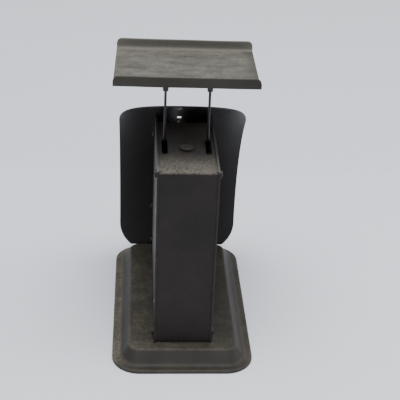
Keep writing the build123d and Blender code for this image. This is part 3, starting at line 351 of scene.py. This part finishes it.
def rim_dust(tree, place):
    """Dust on the base: thick on the flat rim, some on the plateau, hardly any on the slopes and less at the
    near end of the rim; the bare slopes and near end are also painted shade.
    """
    split = node(tree, "SeparateXYZ", {0: place})
    rim = remap(tree, split.outputs["Z"], 2.5 * MM, 5.0 * MM, 1.0, 0.04)
    plateau = remap(tree, split.outputs["Z"], 9.6 * MM, 10.8 * MM, 0.0, 0.5)
    side = remap(tree, split.outputs["X"], -50 * MM, 50 * MM, 0.45, 1.3)
    # Less dust at the near end of the rim, which also paints shade there.
    near = remap(tree, split.outputs["Y"], 70 * MM, 80 * MM, 1.0, 0.2)
    lies = maths(tree, "ADD", maths(tree, "MULTIPLY", rim, near), plateau)
    amount = maths(tree, "MULTIPLY", lies, side)
    patchy = remap(tree, noise(tree, place, 75.0, 4.0, 0.6), 0.36, 0.64, 0.68, 1.15)
    patches = maths(tree, "MULTIPLY", amount, patchy)
    return maths(tree, "MULTIPLY", patches, speckled(tree, place, 0.5, 1.5, 420.0))


def roof_dust(tree, place):
    """Dust on the housing's top, thin under the pan and full on the strip behind it; the darker part under
    the pan is a painted shadow of the pan.
    """
    behind = node(tree, "SeparateXYZ", {0: place}).outputs["Y"]
    # Darker under the pan: a little dust, and a painted shadow of the pan.
    dusty_and_unshadowed = remap(tree, behind, 32 * MM, 60 * MM, 0.2, 1.0)
    return maths(tree, "MULTIPLY", dusty_and_unshadowed, speckled(tree, place, 0.4, 1.5, 600.0))


def pan_dust(tree, place):
    """Dust wiped about in streaks across the pan, thicker in the middle than along the lips."""
    streaks = noise(tree, stretched(tree, place, (0.35, 1.0, 1.0)), 150.0, 5.0, 0.6)
    split = node(tree, "SeparateXYZ", {0: place})
    low = remap(tree, split.outputs["Z"], 205.0 * MM, 208.0 * MM, 1.0, 0.45)
    end = remap(tree, split.outputs["X"], -46 * MM, -36 * MM, 0.55, 1.0)
    wiped = remap(tree, streaks, 0.34, 0.66, 0.58, 1.12)
    amount = maths(tree, "MULTIPLY", maths(tree, "MULTIPLY", low, end), wiped)
    return maths(tree, "MULTIPLY", amount, speckled(tree, place, 0.55, 1.25, 900.0))


def make_materials():
    """One material for each slot of the record."""
    steel, dark_steel = (0.26, 0.25, 0.235), (0.08, 0.074, 0.068)
    return {
        "base_enamel": enamel("base enamel", (0.0170, 0.0152, 0.0136), 0.38, 0.04, 0.42, 1.1,
                              dust=YELLOW_DUST, where_dust=rim_dust, rub_and_highlight_width=3.0, specular=0.2),
        "housing_enamel": enamel("housing enamel", (0.0098, 0.0075, 0.0072), 0.5, 0.025, 0.50, 0.7,
                                 where_dust=roof_dust, specular=0.2),
        "dial_enamel": enamel("dial enamel", (0.0060, 0.0056, 0.0058), 0.34, 0.014, 0.3, 0.8,
                              peel=0.012),
        "screw_steel": enamel("screw enamel", (0.009, 0.008, 0.0075), 0.45, 0.02, 0.2, 0.6,
                              rub_and_highlight_width=0.4, specular=0.25),
        "socket_enamel": enamel("socket enamel", (0.006, 0.006, 0.006), 0.35, 0.03, 0.3, 0.8, rub_and_highlight_width=0.5),
        "pan_enamel": enamel("pan enamel", (0.0175, 0.0150, 0.0095), 0.48, 0.06, 0.88, 0.8,
                             dust=(0.155, 0.147, 0.124), where_dust=pan_dust, where_film=pan_film,
                             rub_and_highlight_width=1.2, specular=0.3),
        "knob_enamel": enamel("knob enamel", (0.007, 0.0065, 0.006), 0.45, 0.02, 0.10, 0.35, rub_and_highlight_width=0.4),
        "pointer_enamel": pointer_enamel(),
        "liner_plastic": moulded("liner plastic", (0.006, 0.006, 0.006), 0.5),
        "chart_card": card("chart card", (0.70, 0.65, 0.52)),
        "eyelet_brass": metal("eyelet brass", (0.78, 0.69, 0.48), 0.2, (0.45, 0.36, 0.2), dull=0.2),
        "plain_brass": metal("plain brass", (0.13, 0.10, 0.055), 0.5, (0.05, 0.038, 0.022)),
        "plain_steel": metal("plain steel", steel, 0.36, dark_steel, along=(0.2, 1.0, 1.0)),
        "rod_steel": metal("rod steel", (0.042, 0.043, 0.050), 0.34, (0.02, 0.018, 0.016),
                           along=(1.0, 1.0, 0.1)),
        "spring_steel": metal("spring steel", (0.5, 0.5, 0.49), 0.26, dark_steel, dull=0.25),
    }


# ------------------------------------------------------------------ pieces
def new_object(name, points, faces, smooth=True):
    mesh = bpy.data.meshes.new(name)
    mesh.from_pydata(points, [], faces)
    mesh.update()
    for face in mesh.polygons:
        face.use_smooth = smooth
    made = bpy.data.objects.new(name, mesh)
    bpy.context.scene.collection.objects.link(made)
    return made


def bend_points(corner, start, sweep, radius):
    """Points round one bend of the pan's section, centred on corner."""
    turns = [start + sweep * k / BEND_STEPS for k in range(BEND_STEPS + 1)]
    return [(corner[0] + radius * math.cos(t), corner[1] + radius * math.sin(t)) for t in turns]


def pan_section(front, rear, under, top, lip):
    """The pan's section as a closed loop: outside from the front lip to the rear lip, and back inside."""
    outer = PAN_BEND + PAN_SHEET
    flat, wall_out, wall_in = rear - front - 2 * outer, lip - under - outer, lip - top - PAN_BEND
    flat_steps, lip_steps = range(1, FLAT_STEPS), range(1, LIP_STEPS + 1)
    down, level = math.pi, 1.5 * math.pi
    outside = [(front, lip - k * wall_out / LIP_STEPS) for k in range(LIP_STEPS)]
    outside += bend_points((front + outer, under + outer), down, 0.5 * math.pi, outer)
    outside += [(front + outer + k * flat / FLAT_STEPS, under) for k in flat_steps]
    outside += bend_points((rear - outer, under + outer), level, 0.5 * math.pi, outer)
    outside += [(rear, under + outer + k * wall_out / LIP_STEPS) for k in lip_steps]
    front_in, rear_in = front + PAN_SHEET, rear - PAN_SHEET
    inside = [(rear_in, lip - k * wall_in / LIP_STEPS) for k in range(LIP_STEPS)]
    inside += bend_points((rear_in - PAN_BEND, top + PAN_BEND), 2 * math.pi, -0.5 * math.pi, PAN_BEND)
    inside += [(rear_in - PAN_BEND - k * flat / FLAT_STEPS, top) for k in flat_steps]
    inside += bend_points((front_in + PAN_BEND, top + PAN_BEND), 1.5 * math.pi, -0.5 * math.pi, PAN_BEND)
    inside += [(front_in, top + PAN_BEND + k * wall_in / LIP_STEPS) for k in lip_steps]
    return outside + inside


def lip_drop(x, left, right):
    """How much lower the lip is near its rounded ends."""
    near = min(x - left, right - x)
    if near >= PAN_LIP_CORNER:
        return 0.0
    return PAN_LIP_CORNER - math.sqrt(PAN_LIP_CORNER**2 - (PAN_LIP_CORNER - near) ** 2)


def pan_stations(left, right):
    """Stations along the pan, closer together at the two ends."""
    steps = [0.5 - 0.5 * math.cos(math.pi * k / (PAN_STATIONS - 1)) for k in range(PAN_STATIONS)]
    return [left + (right - left) * (0.55 * s + 0.45 * k / (PAN_STATIONS - 1)) for k, s in enumerate(steps)]


def sheet_sag(x, y):
    """The small unevenness of hand-bent sheet."""
    return (0.10 * math.sin(58 * x + 0.6) * math.sin(47 * y + 1.1) + 0.05 * math.sin(131 * x - 83 * y)) * MM


def add_pan():
    """The lipped pan, a little askew and not quite flat."""
    low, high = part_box("weighing_pan")
    top = low[2] + PAN_SHEET
    section = pan_section(low[1], high[1], low[2], top, high[2])
    centre = Vector((0.5 * (low[0] + high[0]), 0.5 * (low[1] + high[1]), 0.0))
    turn = Matrix.Rotation(PAN_TWIST, 3, "Z")
    points = []
    for x in pan_stations(low[0], high[0]):
        drop = lip_drop(x, low[0], high[0])
        for y, z in section:
            share = max(0.0, (z - top - PAN_BEND) / (high[2] - top - PAN_BEND))
            lean = PAN_LEAN * share * math.sin(46 * x + 2.0)
            spot = Vector((x, y + lean, z - drop * share + sheet_sag(x, y))) - centre
            points.append(tuple(turn @ spot + centre))
    count = len(section)
    faces = []
    for k in range(PAN_STATIONS - 1):
        for j in range(count):
            a, b = k * count + j, k * count + (j + 1) % count
            faces.append((a, a + count, b + count, b))
    half = count // 2
    for start, flip in ((0, False), ((PAN_STATIONS - 1) * count, True)):
        for j in range(half - 1):
            ring = (start + j, start + j + 1, start + count - 2 - j, start + count - 1 - j)
            faces.append(tuple(reversed(ring)) if flip else ring)
    pan = new_object("pan", points, faces)
    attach(pan, "stirrup")
    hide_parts("weighing_pan")
    return pan


def on_dial(x, rise, angle, lift):
    """A point of the dial's front, rise above an angle and lift off the card."""
    turn = angle + rise / CHART_RADIUS
    reach = CHART_RADIUS + lift
    return (x, PIVOT_Y - reach * math.cos(turn), PIVOT_Z + reach * math.sin(turn))


def ink_bar(points, faces, left, right, low, high, angle):
    """One printed bar of the chart as a very thin block, bent with the dial when it is long."""
    steps = max(1, int((high - low) / INK_STEP))
    start = len(points)
    for k in range(steps + 1):
        rise = low + (high - low) * k / steps
        for x, lift in ((left, INK_FOOT), (right, INK_FOOT), (right, INK_TOP), (left, INK_TOP)):
            points.append(on_dial(x, rise, angle, lift))
    for k in range(steps):
        for j in range(4):
            a, b = start + 4 * k + j, start + 4 * k + (j + 1) % 4
            faces.append((a, b, b + 4, a + 4))
    faces.append((start + 3, start + 2, start + 1, start))
    end = start + 4 * steps
    faces.append((end, end + 1, end + 2, end + 3))


def unit_angle(unit):
    return ZERO_ANGLE - TRAVEL * unit / UNITS


def add_divisions():
    """Scale divisions on both sides of the slot, with a fine line down each column."""
    points, faces = [], []
    for quarter in range(4 * UNITS + 1):
        length = MARK_WHOLE if quarter % 4 == 0 else MARK_HALF if quarter % 2 == 0 else MARK_QUARTER
        thick = HALF_THICK if quarter % 4 == 0 else HALF_THIN
        angle = unit_angle(quarter / 4)
        for side in (1, -1):
            near, far = SLOT_X + side * MARK_START, SLOT_X + side * (MARK_START + length)
            ink_bar(points, faces, min(near, far), max(near, far), -thick, thick, angle)
    run = TRAVEL * CHART_RADIUS
    for side in (1, -1):
        line = SLOT_X + side * COLUMN_LINE
        left, right = line - COLUMN_HALF_WIDTH, line + COLUMN_HALF_WIDTH
        ink_bar(points, faces, left, right, -run - COLUMN_OVERRUN, COLUMN_OVERRUN, ZERO_ANGLE)
    bars = new_object("chart_divisions", points, faces, smooth=False)
    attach(bars, "frame")
    return bars


def bent_text(text, x, angle, size):
    """A number of the chart, drawn flat and then bent onto the dial."""
    curve = bpy.data.curves.new("number_" + text, "FONT")
    curve.body = text
    curve.size = size
    curve.extrude = 0.02 * MM
    curve.resolution_u = 4
    curve.align_x = "CENTER"
    curve.align_y = "CENTER"
    flat = bpy.data.objects.new("flat", curve)
    mesh = bpy.data.meshes.new_from_object(flat)
    for vertex in mesh.vertices:
        u, v, w = vertex.co
        vertex.co = on_dial(x + u, v, angle, 0.03 * MM + w)
    bpy.data.objects.remove(flat)
    bpy.data.curves.remove(curve)
    return mesh


def add_numbers():
    """Plain numbers beside the divisions: whole units on one side, fifties on the other."""
    meshes = []
    for unit in range(UNITS + 1):
        meshes.append(bent_text(str(unit), UNIT_NUMBERS_X, unit_angle(unit), UNIT_NUMBERS_SIZE))
    for step in range(FINE_COUNT):
        angle = ZERO_ANGLE - TRAVEL * step * FINE_STEP / FINE_TRAVEL
        meshes.append(bent_text(str(FINE_STEP * step), FINE_NUMBERS_X, angle, FINE_NUMBERS_SIZE))
    points, faces = [], []
    for mesh in meshes:
        start = len(points)
        points += [tuple(v.co) for v in mesh.vertices]
        faces += [tuple(start + i for i in face.vertices) for face in mesh.polygons]
        bpy.data.meshes.remove(mesh)
    numbers = new_object("chart_numbers", points, faces, smooth=False)
    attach(numbers, "frame")
    return numbers


def spring_part(name, above):
    """The CAD spring cut across its upper stem, keeping the part above the cut or below it."""
    mesh = NODES["weighing_spring"].data.copy()
    work = bmesh.new()
    work.from_mesh(mesh)
    bmesh.ops.remove_doubles(work, verts=work.verts, dist=WELD_DISTANCE)
    everything = work.verts[:] + work.edges[:] + work.faces[:]
    bmesh.ops.bisect_plane(work, geom=everything, plane_co=(0, 0, SPRING_CUT), plane_no=(0, 0, 1),
                           clear_inner=above, clear_outer=not above)
    bmesh.ops.holes_fill(work, edges=[edge for edge in work.edges if edge.is_boundary])
    work.to_mesh(mesh)
    work.free()
    part = bpy.data.objects.new(name, mesh)
    bpy.context.scene.collection.objects.link(part)
    return part


def add_spring():
    """The weighing spring, cut in two: the coil with its lower end, and the upper eye."""
    coil = spring_part("spring", False)
    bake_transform(coil)
    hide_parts("weighing_spring")
    eye = spring_part("spring_eye", True)
    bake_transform(eye)


# ------------------------------------------------------------------ camera, floor, light
def add_camera():
    """Camera behind the scale, a little to one side, looking down at it."""
    forward = Vector((
        -math.sin(CAMERA_YAW) * math.cos(CAMERA_PITCH),
        -math.cos(CAMERA_YAW) * math.cos(CAMERA_PITCH),
        -math.sin(CAMERA_PITCH),
    ))
    right = Vector((-math.cos(CAMERA_YAW), math.sin(CAMERA_YAW), 0.0))
    up = right.cross(forward)
    rolled_right = right * math.cos(CAMERA_ROLL) + up * math.sin(CAMERA_ROLL)
    rolled_up = up * math.cos(CAMERA_ROLL) - right * math.sin(CAMERA_ROLL)
    data = bpy.data.cameras.new("camera")
    data.lens = CAMERA_LENS
    data.sensor_width = 36.0
    camera = bpy.data.objects.new("camera", data)
    rotation = Matrix((rolled_right, rolled_up, -forward)).transposed().to_4x4()
    camera.matrix_world = Matrix.Translation(CAMERA_PLACE) @ rotation
    bpy.context.scene.collection.objects.link(camera)
    bpy.context.scene.camera = camera


def add_floor():
    half = FLOOR_HALF_WIDTH
    corners = [(-half, -half, 0), (half, -half, 0), (half, half, 0), (-half, half, 0)]
    floor = new_object("floor", corners, [(0, 1, 2, 3)])
    floor.data.materials.append(floor_paper())


def add_light(name, place, aim, size, power):
    """A square area light at a place, turned to look at its aim."""
    data = bpy.data.lights.new(name, "AREA")
    data.shape = "RECTANGLE"
    data.size = size
    data.size_y = size
    data.energy = power
    light = bpy.data.objects.new(name, data)
    light.location = place
    light.rotation_euler = (Vector(aim) - Vector(place)).to_track_quat("-Z", "Y").to_euler()
    bpy.context.scene.collection.objects.link(light)


def add_lights():
    """A broad soft light overhead, a weaker one at the side and the pale room round them."""
    world = bpy.data.worlds.new("world")
    bpy.context.scene.world = world
    world.use_nodes = True
    world.node_tree.nodes["Background"].inputs[0].default_value = ROOM_COLOUR
    world.node_tree.nodes["Background"].inputs[1].default_value = ROOM_STRENGTH
    add_light("overhead", OVERHEAD_PLACE, OVERHEAD_AIM, OVERHEAD_SIZE, OVERHEAD_POWER)
    add_light("side", SIDE_PLACE, SIDE_AIM, SIDE_SIZE, SIDE_POWER)


def dress(materials):
    """Every CAD node takes the material of its slot."""
    for part in frame["record"]["subparts"]:
        mesh = NODES[part["node"]].data
        mesh.materials.clear()
        mesh.materials.append(materials[part["material_slot"]])


def main():
    add_camera()
    add_floor()
    add_lights()
    materials = make_materials()
    dress(materials)
    ink = chart_ink()
    add_pan().data.materials.append(materials["pan_enamel"])
    add_spring()
    add_divisions().data.materials.append(ink)
    add_numbers().data.materials.append(ink)


main()
